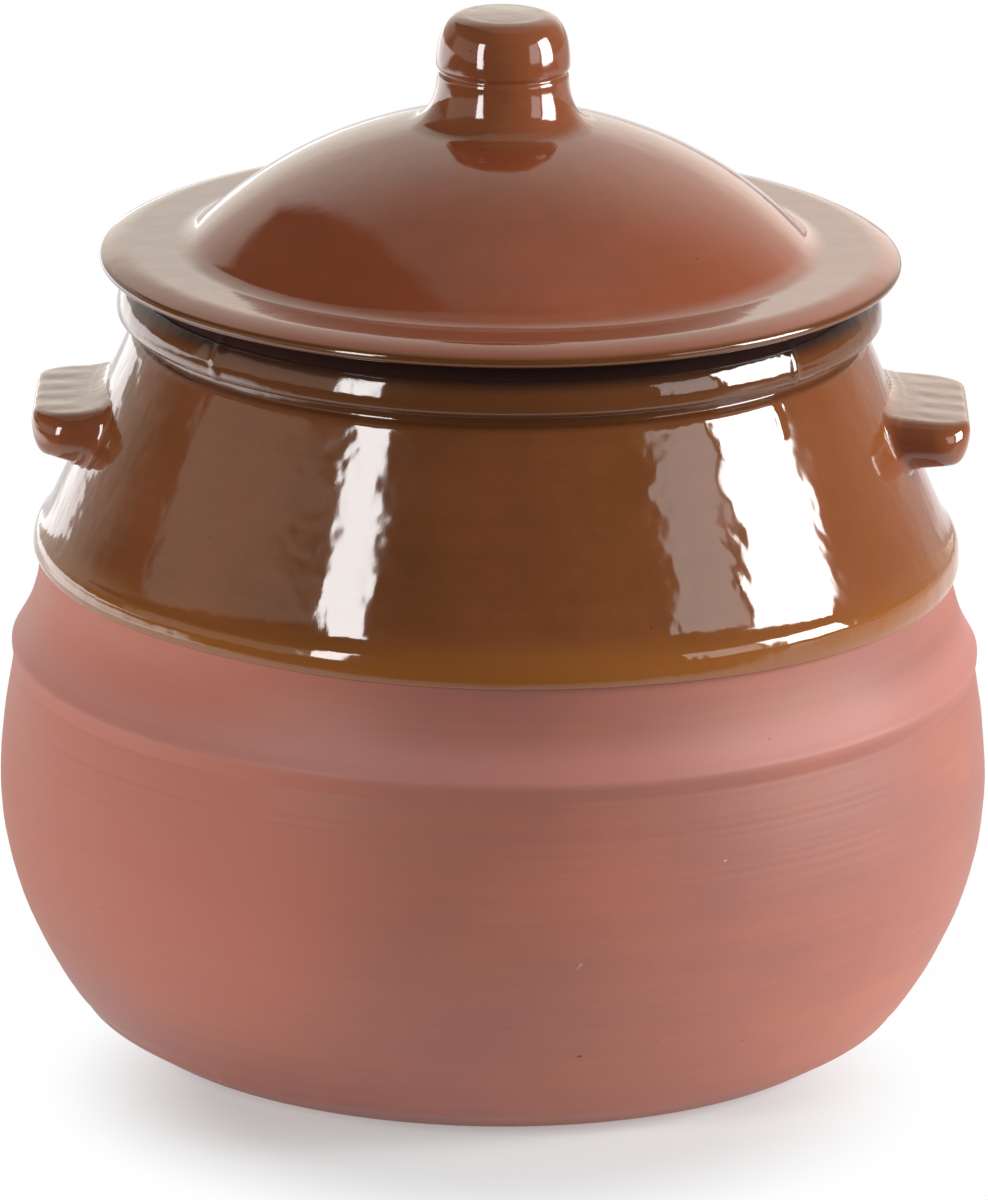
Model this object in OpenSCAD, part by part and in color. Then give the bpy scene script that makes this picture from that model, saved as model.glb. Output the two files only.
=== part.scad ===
// Lidded earthenware bean pot with two shelf lugs.
// Lengths are millimetres. The origin is on the table under the pot's axis, and the lugs lie along X.

/* [Pot] */
// Widest diameter of the belly
belly_d = 240; // [225:1:280]
// Height of the widest part of the belly
belly_z = 61; // [45:1:75]
// Diameter of the flat face that the pot rests on
base_d = 180; // [150:1:192]
// How far the bevel round the foot flares out
foot_out = 10.5; // [4:0.5:16]
// Height of the bevel round the foot
foot_h = 6.5; // [3:0.5:12]
// Diameter at the ridge above the belly
ridge_d = 234.6; // [226:0.2:240]
// Height of the ridge
ridge_z = 94; // [85:1:104]
// Depth of the soft waist under the ridge
waist_depth = 0.6; // [0:0.1:2]
// Diameter where the shoulder rolls over
shoulder_d = 221.2; // [205:0.2:226]
// Height where the shoulder rolls over
shoulder_z = 120.5; // [114:0.5:130]
// Length of the curve under the roll-over
shoulder_roll = 6; // [2:0.5:8]
// How far the bead at the roll-over stands out
bead_out = 0.9; // [0.3:0.1:2]
// How far the bead reaches above and below the roll-over
bead_rise = 1.3; // [0.5:0.1:2]
// Height of the hollow between the bead and the straight part of the shoulder
hollow_h = 2.4; // [1.5:0.1:4]
// Diameter of the neck, at the top of the shoulder
neck_d = 176.6; // [150:0.2:196]
// How far the neck lies under the collar band
neck_drop = 4.8; // [2:0.2:10]
// How deep the groove under the collar band cuts into the neck
neck_in = 1.6; // [0.4:0.1:3]
// How far the collar band round the rim stands out from the neck
band_out = 2.4; // [1:0.2:6]
// Height of the collar band
band_h = 13.1; // [8:0.1:18]
// How much wider the band is where the rim begins to round over
band_bulge = 1; // [0:0.1:1.5]
// Height of the band's lower edge, up to where the rim begins to round over
band_edge = 1.1; // [0.5:0.1:3]
// Height of the rim that the lid rests on
pot_h = 189.4; // [168:0.2:218]
// Width of the flat face on the rim that the lid rests on
rim_flat = 1.5; // [1:0.1:3]
// Bevel at the rim's inner edge
rim_bevel = 1.5; // [0.5:0.1:2.5]
// Thickness of the wall
wall_t = 7.5; // [5:0.5:11]
// Thickness of the floor
floor_t = 9; // [6:0.5:14]
// How far the flat part of the floor inside ends from the edge of the resting face
floor_in = 15; // [8:1:30]

/* [Glaze] */
// Thickness of the glaze coats
glaze_t = 0.5; // [0.3:0.1:1]
// How far the glaze outside reaches down past the roll-over
glaze_drop = 4; // [0:0.5:16]

/* [Lugs] */
// Width of a lug, along the pot's side
lug_w = 50; // [30:1:70]
// How far a lug stands out from the shoulder at its top face
lug_out = 18.7; // [14:0.1:30]
// Thickness of a lug at its nose
lug_t = 10.5; // [8:0.5:14]
// How far a lug's top face lies under the rim
lug_below = 31.4; // [26:0.2:42]
// How much deeper a lug is at its root than at its nose
lug_drop = 4.8; // [2.4:0.2:8]
// How far a lug's top face falls from its root to its nose
lug_fall = 2.3; // [0:0.1:4]
// Length of the curve at the top of a lug's nose
nose_top = 2.5; // [1:0.1:4]
// Length of the curve at the bottom of a lug's nose
nose_low = 6; // [3:0.5:10]
// Radius of a lug's two corners, seen from above
lug_corner = 9; // [4:0.5:12]
// Number of flutes across the top of a lug
flute_count = 5; // [3:1:7]
// Width of one flute
flute_w = 8; // [3:0.5:8.5]
// Depth of one flute
flute_depth = 0.4; // [0.2:0.1:1.2]

/* [Lid] */
// How far the lid's clay flange stands out past the collar band
lid_over = 5.3; // [2:0.1:12]
// Thickness of the flange where it rests on the rim
flange_t = 3.6; // [3:0.1:6]
// Width of the strip over which the flange's top rolls down to its edge
edge_roll = 8.5; // [4:0.5:12]
// How far the flange's top falls over that strip
edge_drop = 1.7; // [0.8:0.1:2.4]
// Width of the curve under the flange's edge
edge_under = 2; // [1:0.1:3.5]
// Width of the flange outside the dome
flange_w = 20.8; // [18:0.2:36]
// Height of the dome above the flange
dome_h = 32.3; // [20:0.1:50]
// Radius of the hollow between the dome and the flange
dome_fillet = 9; // [3:0.5:12]
// Thickness of the dome
lid_wall = 5; // [3.5:0.5:8]
// Depth of the ring that keeps the lid in the mouth
ring_h = 6; // [3:0.5:12]
// Thickness of that ring
ring_w = 5.8; // [4:0.2:9]
// Room between that ring and the glazed mouth, all round
ring_gap = 2; // [1:0.5:4]

/* [Knob] */
// Diameter of the knob's cap
knob_d = 32.2; // [26:0.2:38]
// Height of the knob above its seat
knob_h = 27.7; // [24:0.1:36]
// Diameter of the knob's spread foot
knob_foot_d = 46; // [42:1:60]
// Height of the groove round the knob, above its seat
groove_z = 13.8; // [10:0.1:17]
// Height of the groove itself
groove_w = 1.8; // [1:0.2:3]
// Depth of the groove
groove_depth = 0.9; // [0.4:0.1:2]

/* [Hidden] */
$fn = 96;

clay_colour = "#b0705c";
glaze_colour = "#7a4424";

// Steps along one curved stretch of an outline
steps = 10;
short_steps = 4;
// How full the curves of the outline are: 1 is straight
belly_fullness = 2.05;
waist_fullness = 1.7;
cove_fullness = 1.9;
floor_fullness = 2.6;
rim_fullness = 2.3;
// Room between the glaze on the rim and the lid
glaze_room = 0.3;
// Where the neck's groove is deepest, as a share of the neck's drop
neck_in_share = 0.4;
// How far up the shoulder the hollow over the bead runs out, in heights of that hollow
hollow_run = 2.5;
// The straight part of the knob's cap, as a share of the cap's height
cap_straight = 1 / 8;
// Radii at the cap's shoulder and at its crown, as shares of the knob's radius
cap_shoulder = 0.97;
cap_crown = 0.55;
// How far the crown rises to its middle, as a share of the knob's radius
crown_rise = 1 / 54;

belly_r = belly_d / 2;
ridge_r = ridge_d / 2;
shoulder_r = shoulder_d / 2;
neck_r = neck_d / 2;
band_r = neck_r + band_out;
roll_r = band_r + band_bulge;
band_z = pot_h - band_h;
roll_z = band_z + band_edge;
glaze_top_z = pot_h - glaze_t - glaze_room;
neck_z = band_z - neck_drop;
base_r = base_d / 2;
foot_r = base_r + foot_out;
floor_r = base_r - floor_in;
waist_z = ridge_z - (ridge_z - belly_z) / 8;
mouth_r = neck_r - wall_t;
mouth_edge = [mouth_r + rim_bevel, pot_h];
glaze_z = shoulder_z - glaze_drop;
lug_z = pot_h - lug_below;
lid_r = band_r + lid_over;
dome_r = lid_r - flange_w;
knob_r = knob_d / 2;
knob_foot_r = knob_foot_d / 2;

// Outlines are lists of [radius, height], and run upwards.

// A curve from a to b that starts straight and fills out towards b
function swell(a, b, fullness) =
    [for (i = [0 : steps])
        let (t = i / steps, share = 1 - pow(1 - t, fullness))
        [a[0] + (b[0] - a[0]) * share, a[1] + (b[1] - a[1]) * t]];

// The same curve with its full end at a
function ebb(a, b, fullness) =
    [for (i = [0 : steps])
        let (t = i / steps, share = pow(t, fullness))
        [a[0] + (b[0] - a[0]) * share, a[1] + (b[1] - a[1]) * t]];

// A curve from a to c that leaves a, and reaches c, along the lines to b
function bend(a, b, c, count) =
    [for (i = [0 : count])
        let (t = i / count)
        a * pow(1 - t, 2) + b * 2 * t * (1 - t) + c * pow(t, 2)];

// An arc about a centre, with its angles from the outward direction
function arc(centre, radius, from, to, count) =
    [for (i = [0 : count])
        let (angle = from + (to - from) * i / count)
        centre + radius * [cos(angle), sin(angle)]];

function unit(v) = v / norm(v);
function reversed(list) = [for (i = [len(list) - 1 : -1 : 0]) list[i]];
function within(path, low_z, high_z) = [for (p = path) if (p[1] > low_z && p[1] < high_z) p];
function radius_at(path, z) = lookup(z, [for (p = path) [p[1], p[0]]]);
// A path without the points that fall on the one before them
function cleaned(path) =
    [for (i = [0 : len(path) - 1]) if (i == 0 || norm(path[i] - path[max(i - 1, 0)]) > 0.01) path[i]];

// The path at a distance to its right, with mitred corners
function skin(path, t) =
    let (last = len(path) - 1)
    [for (i = [0 : last])
        let (before = unit(i == 0 ? path[1] - path[0] : path[i] - path[i - 1]),
             after = unit(i == last ? path[last] - path[last - 1] : path[i + 1] - path[i]),
             along = unit(before + after))
        path[i] + [along[1], -along[0]] * t / (along * after)];

// A closed coat of glaze on one side of a path
function coat(path, t) = concat(path, reversed(skin(path, t)));

// The pot's clay outside, from the foot to the rim
shoulder_corner = [shoulder_r, shoulder_z];
up_shoulder = unit([neck_r, neck_z] - shoulder_corner);
// The place on the shoulder's straight line at a height above its corner
function on_shoulder(rise) = shoulder_corner + up_shoulder * rise / up_shoulder[1];
bead_r = shoulder_r + bead_out;
bead_nose = [bead_r, shoulder_z - bead_rise];
bead_top = [bead_r, shoulder_z + bead_rise];
bead_foot = [shoulder_r, shoulder_z - shoulder_roll];
hollow_turn = on_shoulder(bead_rise + hollow_h);
hollow_top = on_shoulder(bead_rise + hollow_h * hollow_run);
hollow_foot = (bead_top + hollow_turn) / 2;
outside = cleaned(concat(
    [[base_r, 0]],
    swell([foot_r, foot_h], [belly_r, belly_z], belly_fullness),
    ebb([belly_r, belly_z], [ridge_r - waist_depth, waist_z], waist_fullness),
    bend([ridge_r - waist_depth, waist_z], [ridge_r, (waist_z + ridge_z) / 2], [ridge_r, ridge_z],
         short_steps),
    swell([ridge_r, ridge_z], bead_foot, cove_fullness),
    bend(bead_foot, [bead_r, (bead_foot[1] + bead_nose[1]) / 2], bead_nose, short_steps),
    bend(bead_nose, bead_top, hollow_foot, short_steps),
    bend(hollow_foot, hollow_turn, hollow_top, short_steps),
    [[neck_r, neck_z]],
    [[neck_r - neck_in, neck_z + neck_drop * neck_in_share]],
    bend([band_r, band_z], [roll_r, (band_z + roll_z) / 2], [roll_r, roll_z], short_steps),
    ebb([roll_r, roll_z], mouth_edge + [rim_flat, 0], rim_fullness)));

// The pot's clay inside, from the middle of the floor to the mouth
inside = cleaned(concat(
    [[0, floor_t]],
    swell([floor_r, floor_t], [belly_r - wall_t, belly_z], floor_fullness),
    [[ridge_r - wall_t, ridge_z]],
    bend([shoulder_r - wall_t, shoulder_z - 2 * shoulder_roll], [shoulder_r - wall_t, shoulder_z],
         [shoulder_r - wall_t, shoulder_z] + up_shoulder * 2 * shoulder_roll, short_steps),
    bend([mouth_r, neck_z] - up_shoulder * 2 * shoulder_roll, [mouth_r, neck_z],
         [mouth_r, band_z], short_steps),
    [[mouth_r, pot_h - rim_bevel]]));

// The outside glaze ends on the rim's curve, where it still clears the lid
glazed_outside = cleaned(concat(
    [[radius_at(outside, glaze_z), glaze_z]],
    within(outside, glaze_z, glaze_top_z),
    [[radius_at(outside, glaze_top_z), glaze_top_z]]));

// The lid rests on the rim, and the dome is part of a ball
flange_z = pot_h + flange_t;
ball_r = (dome_r * dome_r + dome_h * dome_h) / (2 * dome_h);
ball_z = flange_z + dome_h - ball_r;
seat_z = ball_z + sqrt(ball_r * ball_r - knob_foot_r * knob_foot_r);
seat_angle = acos(knob_foot_r / ball_r);
knob_seat = arc([0, ball_z], ball_r, 90, seat_angle, short_steps);
// The hollow touches the ball from outside and the flange from above
fillet_z = flange_z + dome_fillet;
fillet_reach = ball_r + dome_fillet;
fillet_r = sqrt(fillet_reach * fillet_reach - pow(fillet_z - ball_z, 2));
fillet_angle = asin((fillet_z - ball_z) / fillet_reach);

// The lid's clay top, from the knob's seat to the bottom of the edge, run downwards
edge_side = [lid_r, flange_z - edge_drop];
lid_top = cleaned(concat(
    arc([0, ball_z], ball_r, seat_angle, fillet_angle, steps),
    arc([fillet_r, fillet_z], dome_fillet, 180 + fillet_angle, 270, short_steps),
    bend([lid_r - edge_roll, flange_z], [lid_r, flange_z], edge_side, steps),
    bend(edge_side, [lid_r, pot_h], [lid_r - edge_under, pot_h], short_steps)));

ring_r = mouth_r - glaze_t - ring_gap;
ring_inner_r = ring_r - ring_w;
// The hollow under the dome, also part of a ball, opens no wider than the ring
hollow_edge_r = min(ring_inner_r, sqrt(pow(ball_r - lid_wall, 2) - pow(pot_h - ball_z, 2)));
hollow_rise = flange_t + dome_h - lid_wall;
hollow_ball_r = (pow(hollow_edge_r, 2) + pow(hollow_rise, 2)) / (2 * hollow_rise);
hollow_ball_z = pot_h + hollow_rise - hollow_ball_r;
hollow_angle = asin((pot_h - hollow_ball_z) / hollow_ball_r);

// A lug's top face falls outwards from the shoulder, and its flutes with it
shoulder_at_lug = radius_at(outside, lug_z);
lug_tip = shoulder_at_lug + lug_out;
nose_z = lug_z - lug_fall;
nose_low_z = nose_z - lug_t;
root_low_z = lug_z - lug_t - lug_drop;
lug_slope = atan2(lug_fall, lug_out - nose_top);
flute_r = (pow(flute_w / 2, 2) + pow(flute_depth, 2)) / (2 * flute_depth);
flute_pitch = lug_w / (flute_count + 0.5);

cap_z = groove_z + groove_w / 2;
cap_curve = knob_h - cap_z;
// The knob's outline, from the edge of its foot up, above that edge. Its foot runs out along the dome.
knob_foot = [knob_foot_r * (1 + glaze_t / ball_r), glaze_t * sin(seat_angle)];
foot_turn = knob_foot_r - knob_r;
knob_side = concat(
    bend(knob_foot, knob_foot + foot_turn * [-1, 1 / tan(seat_angle)],
         [knob_r - groove_depth / 3, groove_z - groove_w / 2], steps),
    [[knob_r - groove_depth, groove_z]],
    [[knob_r, cap_z]],
    bend([knob_r, cap_z + cap_curve * cap_straight], [knob_r * cap_shoulder, knob_h],
         [knob_r * cap_crown, knob_h - knob_r * crown_rise], steps),
    [[0, knob_h]]);

module clay() {
    color(clay_colour) children();
}

module glaze() {
    color(glaze_colour) children();
}

// Everything inside the pot's clay outline
module pot_blank() {
    rotate_extrude() polygon(concat([[0, 0]], outside, [[0, pot_h]]));
}

module pot_body() {
    clay() rotate_extrude() polygon(concat([[0, 0]], outside, [mouth_edge], reversed(inside)));
}

module outer_glaze() {
    glaze() difference() {
        rotate_extrude() polygon(coat(glazed_outside, glaze_t));
        lug_block();
        mirror([1, 0, 0]) lug_block();
    }
}

module inner_glaze() {
    glaze() rotate_extrude() polygon(coat(inside, -glaze_t));
}

// A lug seen along the pot's side: a falling shelf with a round nose, deeper at its root
module lug_section() {
    nose_side = [lug_tip, nose_z - nose_top];
    polygon(concat(
        [[0, lug_z], [shoulder_at_lug, lug_z]],
        bend([lug_tip - nose_top, nose_z], [lug_tip, nose_z], nose_side, short_steps),
        bend(nose_side, [lug_tip, nose_low_z], [lug_tip - nose_low, nose_low_z], steps),
        [[shoulder_at_lug, root_low_z], [0, root_low_z]]));
}

// A lug seen from above: a tongue with round corners
module lug_plan() {
    corner = [lug_tip - lug_corner, lug_w / 2 - lug_corner];
    polygon(concat(
        [[0, -lug_w / 2]],
        arc([corner[0], -corner[1]], lug_corner, -90, 0, steps),
        arc(corner, lug_corner, 0, 90, steps),
        [[0, lug_w / 2]]));
}

module flutes() {
    translate([shoulder_at_lug, 0, lug_z]) rotate([0, lug_slope, 0])
        for (i = [0 : flute_count - 1])
            translate([-lug_out, (i - (flute_count - 1) / 2) * flute_pitch, flute_r - flute_depth])
                rotate([0, 90, 0]) cylinder(h = 3 * lug_out, r = flute_r);
}

// A lug that runs on to the pot's axis
module lug_block() {
    difference() {
        intersection() {
            rotate([90, 0, 0]) linear_extrude(lug_w, center = true) lug_section();
            linear_extrude(pot_h) lug_plan();
        }
        flutes();
    }
}

module lug() {
    difference() {
        lug_block();
        pot_blank();
    }
}

module left_lug() {
    glaze() mirror([1, 0, 0]) lug();
}

module right_lug() {
    glaze() lug();
}

module lid_body() {
    ring_low = pot_h - ring_h;
    clay() rotate_extrude() polygon(cleaned(concat(
        knob_seat,
        lid_top,
        [[ring_r, pot_h], [ring_r, ring_low], [ring_inner_r, ring_low], [ring_inner_r, pot_h]],
        arc([0, hollow_ball_z], hollow_ball_r, hollow_angle, 90, steps))));
}

module lid_glaze() {
    glaze() rotate_extrude() polygon(coat(lid_top, -glaze_t));
}

module lid_knob() {
    glaze() rotate_extrude() polygon(concat(knob_seat, [for (p = knob_side) p + [0, seat_z]]));
}

pot_body();
outer_glaze();
inner_glaze();
left_lug();
right_lug();
lid_body();
lid_glaze();
lid_knob();
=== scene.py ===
# Looks of the lidded earthenware bean pot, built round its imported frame.
# Sizes are millimetres, as in the part's source, and become metres when a mesh is made.
# The camera's distance, the lights and the floor are in metres.
import math

import bmesh
import bpy
import numpy as np
from mathutils import Matrix, Vector


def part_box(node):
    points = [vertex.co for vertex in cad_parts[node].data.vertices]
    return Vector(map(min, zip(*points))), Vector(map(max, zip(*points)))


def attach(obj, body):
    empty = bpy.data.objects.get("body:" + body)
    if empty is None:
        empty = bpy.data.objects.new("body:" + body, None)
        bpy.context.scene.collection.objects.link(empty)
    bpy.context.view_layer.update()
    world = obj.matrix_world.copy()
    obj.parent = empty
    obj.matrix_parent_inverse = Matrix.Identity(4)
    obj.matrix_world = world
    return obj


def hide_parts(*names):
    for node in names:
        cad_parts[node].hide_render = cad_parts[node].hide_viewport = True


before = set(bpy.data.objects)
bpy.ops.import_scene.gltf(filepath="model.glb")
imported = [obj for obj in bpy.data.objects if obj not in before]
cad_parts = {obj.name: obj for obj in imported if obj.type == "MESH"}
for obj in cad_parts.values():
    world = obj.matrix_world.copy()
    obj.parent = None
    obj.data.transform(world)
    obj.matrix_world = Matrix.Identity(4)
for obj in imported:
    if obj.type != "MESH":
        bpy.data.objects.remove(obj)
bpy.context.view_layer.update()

MM = 0.001


def node_box(name):
    """Lowest and highest corners of a CAD node, in millimetres."""
    return [[round(value / MM, 3) for value in corner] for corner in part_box(name)]


# Corners of the nodes' boxes, which give the sizes that reach them
POT_MAX = node_box("pot_body")[1]
LINING_MIN, LINING_MAX = node_box("inner_glaze")
LID_MIN, LID_MAX = node_box("lid_body")
LUG_MAX = node_box("right_lug")[1]
KNOB_MIN, KNOB_MAX = node_box("lid_knob")

# Pot
BELLY_R, BELLY_Z = POT_MAX[0], 61.0
BASE_R, FOOT_OUT, FOOT_H, FOOT_EDGE = 90.0, 10.5, 6.5, 1.5
FOOT_R = BASE_R + FOOT_OUT
RIDGE_R, RIDGE_Z, WAIST_DEPTH = 117.3, 94.0, 0.6
WAIST_Z = RIDGE_Z - (RIDGE_Z - BELLY_Z) / 8
SHOULDER_R, SHOULDER_Z, SHOULDER_ROLL = 110.6, 120.5, 6.0
BEAD_OUT, BEAD_RISE, HOLLOW_H, HOLLOW_RUN = 0.9, 1.3, 2.4, 2.5
POT_H, RIM_FLAT, RIM_BEVEL = POT_MAX[2], 1.5, POT_MAX[2] - LINING_MAX[2]
NECK_R, NECK_DROP, NECK_IN = 88.3, 4.8, 2.2
BAND_OUT, BAND_H, BAND_BULGE, BAND_EDGE = 2.4, 13.1, 1.0, 1.1
BAND_R, BAND_Z = NECK_R + BAND_OUT, POT_H - BAND_H
ROLL_R, ROLL_Z = BAND_R + BAND_BULGE, BAND_Z + BAND_EDGE
NECK_Z = BAND_Z - NECK_DROP
# The neck's groove starts above the shoulder's top edge and ends below the band
GROOVE_ABOVE, GROOVE_BELOW = 0.8, 1.2
WALL_T, FLOOR_T, FLOOR_IN = BELLY_R - LINING_MAX[0], LINING_MIN[2], 15.0
FLOOR_R, MOUTH_R = BASE_R - FLOOR_IN, NECK_R - WALL_T
BELLY_FULLNESS, WAIST_FULLNESS = 2.05, 1.7
COVE_FULLNESS, FLOOR_FULLNESS, RIM_FULLNESS = 1.9, 2.6, 2.3

# Glaze
GLAZE_T, GLAZE_DROP, GLAZE_INDEX = 0.5, 4.0, 1.68
GLAZE_Z = SHOULDER_Z - GLAZE_DROP
# How much lower the glaze line is at the right than on the axis
GLAZE_TILT = 1.2
# How far the coats reach into the clay, so that ripples open no gap
UNDERLAP = 0.25
# The outer coat's swollen lower edge: how much thicker, how far above the glaze line, and how wide
LIP_SWELL, LIP_RISE, LIP_WIDTH = 0.2, 1.0, 1.5
# How far the lid's coat curls under its edge
LID_CURL = 0.7
# Runs of thick glaze: azimuth from the front, lower and upper end, thickness and half width
GLAZE_RUNS = (
    (-46.5, 174.0, 187.0, 0.6, 1.3),
    (49.3, 174.0, 187.0, 0.6, 1.3),
    (46.8, 163.0, 171.0, 0.5, 1.3))
# Where the glaze ends on the rim's curve, so that it clears the lid
GLAZE_CLEARANCE = 0.3
GLAZE_TOP_Z = POT_H - GLAZE_T - GLAZE_CLEARANCE

# Lugs
LUG_W, LUG_OUT, LUG_T, LUG_Z = 2 * LUG_MAX[1], 18.7, 10.5, LUG_MAX[2]
NOSE_TOP, NOSE_LOW, NOSE_BELOW = 2.5, 6.0, 2.3
NOSE_Z = LUG_Z - NOSE_BELOW
LUG_CORNER, LUG_EDGE, LUG_FILLET = 9.0, 4.8, 3.0
# How far a lug's fillet sinks into the shoulder, and how deep inside the wall its root is closed
ROOT_SINK, ROOT_DEPTH = 0.3, 2.0
FLUTE_COUNT, FLUTE_DEPTH = 5, 0.16
FLUTE_PITCH = LUG_W / (FLUTE_COUNT + 0.5)

# Lid
LID_R, FLANGE_T, EDGE_ROLL, EDGE_DROP, EDGE_UNDER = LID_MAX[0], 3.6, 7.5, 2.2, 1.6
# Where the flange's edge stands upright, below the end of its roll
EDGE_UPRIGHT = 0.4
FLANGE_Z = POT_H + FLANGE_T
FLANGE_W, DOME_H, DOME_FILLET, LID_WALL = 20.8, LID_MAX[2] - FLANGE_Z, 9.0, 5.0
DOME_R = LID_R - FLANGE_W
RING_H, RING_W, RING_GAP = POT_H - LID_MIN[2], 5.8, 2.0
BALL_R = (DOME_R ** 2 + DOME_H ** 2) / (2 * DOME_H)
BALL_Z = FLANGE_Z + DOME_H - BALL_R
FILLET_Z = FLANGE_Z + DOME_FILLET
FILLET_REACH = BALL_R + DOME_FILLET
FILLET_R = math.sqrt(FILLET_REACH ** 2 - (FILLET_Z - BALL_Z) ** 2)
FILLET_ANGLE = math.degrees(math.asin((FILLET_Z - BALL_Z) / FILLET_REACH))
RING_R = MOUTH_R - GLAZE_T - RING_GAP

# Knob
KNOB_R, KNOB_H, KNOB_FOOT_R = 16.1, KNOB_MAX[2] - KNOB_MIN[2], 23.0
GROOVE_Z, GROOVE_W, GROOVE_DEPTH = 13.8, 1.8, 0.9
# The cap: the share of its height that is straight, and as shares of its radius its shoulder, its
# crown's edge, how far that edge lies under the top, and where the crown flattens
CAP_STRAIGHT, CAP_SHOULDER = 1 / 8, 0.97
CAP_CROWN, CROWN_RISE, CROWN_FLAT = 0.55, 1 / 54, 0.28
SEAT_Z = BALL_Z + math.sqrt(BALL_R ** 2 - KNOB_FOOT_R ** 2)
SEAT_ANGLE = math.degrees(math.acos(KNOB_FOOT_R / BALL_R))

# Camera, worked out from the photograph's outline
PHOTO_W, PHOTO_H = 988, 1200
CAMERA_AIM = Vector((-0.3, 0.0, 103.6)) * MM
CAMERA_DISTANCE = 2.6
CAMERA_ELEVATION = math.radians(17.0)
CAMERA_ROLL = math.radians(0.85)
FOCAL_PIXELS = 10700
SENSOR = 36.0

# Place that the lights face
LIGHT_AIM = Vector((0, 0, 0.15))

# Mesh: columns round the pot and round the knob, and the least angle of a sharp edge
COLUMNS, KNOB_COLUMNS = 288, 160
SHARP_ANGLE = math.radians(50)
random = np.random.default_rng(11)


def swell(a, b, fullness, count=24):
    """A curve from a to b that starts straight and fills out towards b."""
    t = np.linspace(0, 1, count + 1)
    share = 1 - (1 - t) ** fullness
    return np.column_stack([a[0] + (b[0] - a[0]) * share, a[1] + (b[1] - a[1]) * t])


def ebb(a, b, fullness, count=24):
    """The same curve with its full end at a."""
    t = np.linspace(0, 1, count + 1)
    share = t ** fullness
    return np.column_stack([a[0] + (b[0] - a[0]) * share, a[1] + (b[1] - a[1]) * t])


def bend(a, b, c, count=12):
    """A curve from a to c that leaves a, and reaches c, along the lines to b."""
    a, b, c = (np.array(p, float) for p in (a, b, c))
    t = np.linspace(0, 1, count + 1)[:, None]
    return a * (1 - t) ** 2 + b * 2 * t * (1 - t) + c * t ** 2


def arc(centre, radius, start, end, count=24):
    angle = np.radians(np.linspace(start, end, count + 1))
    return np.array(centre) + radius * np.column_stack([np.cos(angle), np.sin(angle)])


def joined(*paths):
    """One path from several, without points that fall on the one before them."""
    path = np.vstack([np.atleast_2d(np.array(p, float)) for p in paths])
    keep = np.ones(len(path), bool)
    keep[1:] = np.linalg.norm(np.diff(path, axis=0), axis=1) > 0.01
    return path[keep]


def fine(path, gap):
    """The path with its long stretches cut into pieces no longer than gap."""
    pieces = [path[:1]]
    for a, b in zip(path[:-1], path[1:]):
        count = max(1, math.ceil(np.linalg.norm(b - a) / gap))
        t = np.linspace(0, 1, count + 1)[1:, None]
        pieces.append(a + (b - a) * t)
    return np.vstack(pieces)


def skin(path, t):
    """The path at a distance to its right, with mitred corners."""
    step = np.diff(path, axis=0)
    step /= np.linalg.norm(step, axis=1)[:, None]
    before = np.vstack([step[:1], step])
    after = np.vstack([step, step[-1:]])
    along = before + after
    along /= np.linalg.norm(along, axis=1)[:, None]
    across = np.column_stack([along[:, 1], -along[:, 0]])
    return path + across * np.reshape(t, (-1, 1)) / np.sum(along * after, axis=1)[:, None]


def softened(path, radius, count=4):
    """The path with its corners replaced by short curves."""
    pieces = [path[:1]]
    for a, b, c in zip(path[:-2], path[1:-1], path[2:]):
        back, ahead = a - b, c - b
        reach = min(radius, 0.45 * np.linalg.norm(back), 0.45 * np.linalg.norm(ahead))
        start = b + back / np.linalg.norm(back) * reach
        end = b + ahead / np.linalg.norm(ahead) * reach
        pieces.append(bend(start, b, end, count))
    pieces.append(path[-1:])
    return np.vstack(pieces)


def on_shoulder(rise):
    """Place on the shoulder's straight line, at a height above its corner."""
    share = rise / (NECK_Z - SHOULDER_Z)
    return np.array([SHOULDER_R + (NECK_R - SHOULDER_R) * share, SHOULDER_Z + rise])


def shoulder_bead():
    """The bead at the foot of the shoulder and the hollow above it."""
    radius = SHOULDER_R + BEAD_OUT
    foot = [SHOULDER_R, SHOULDER_Z - SHOULDER_ROLL]
    nose = [radius, SHOULDER_Z - BEAD_RISE]
    top = np.array([radius, SHOULDER_Z + BEAD_RISE])
    turn = on_shoulder(BEAD_RISE + HOLLOW_H)
    middle = (top + turn) / 2
    return joined(
        bend(foot, [radius, (foot[1] + nose[1]) / 2], nose),
        bend(nose, top, middle),
        bend(middle, turn, on_shoulder(BEAD_RISE + HOLLOW_H * HOLLOW_RUN)))


def collar():
    """The neck's groove and the collar band, up to the flat of the rim."""
    groove = [[NECK_R - NECK_IN, NECK_Z + GROOVE_ABOVE], [NECK_R - NECK_IN, BAND_Z - GROOVE_BELOW]]
    band = bend([BAND_R, BAND_Z], [ROLL_R, (BAND_Z + ROLL_Z) / 2], [ROLL_R, ROLL_Z])
    corners = joined(on_shoulder(NECK_Z - SHOULDER_Z - 5), [NECK_R, NECK_Z], groove, band[0], band[3])
    rim = ebb([ROLL_R, ROLL_Z], [MOUTH_R + RIM_BEVEL + RIM_FLAT, POT_H], RIM_FULLNESS)
    return joined(softened(corners, radius=0.8), band[3:], rim)


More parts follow.
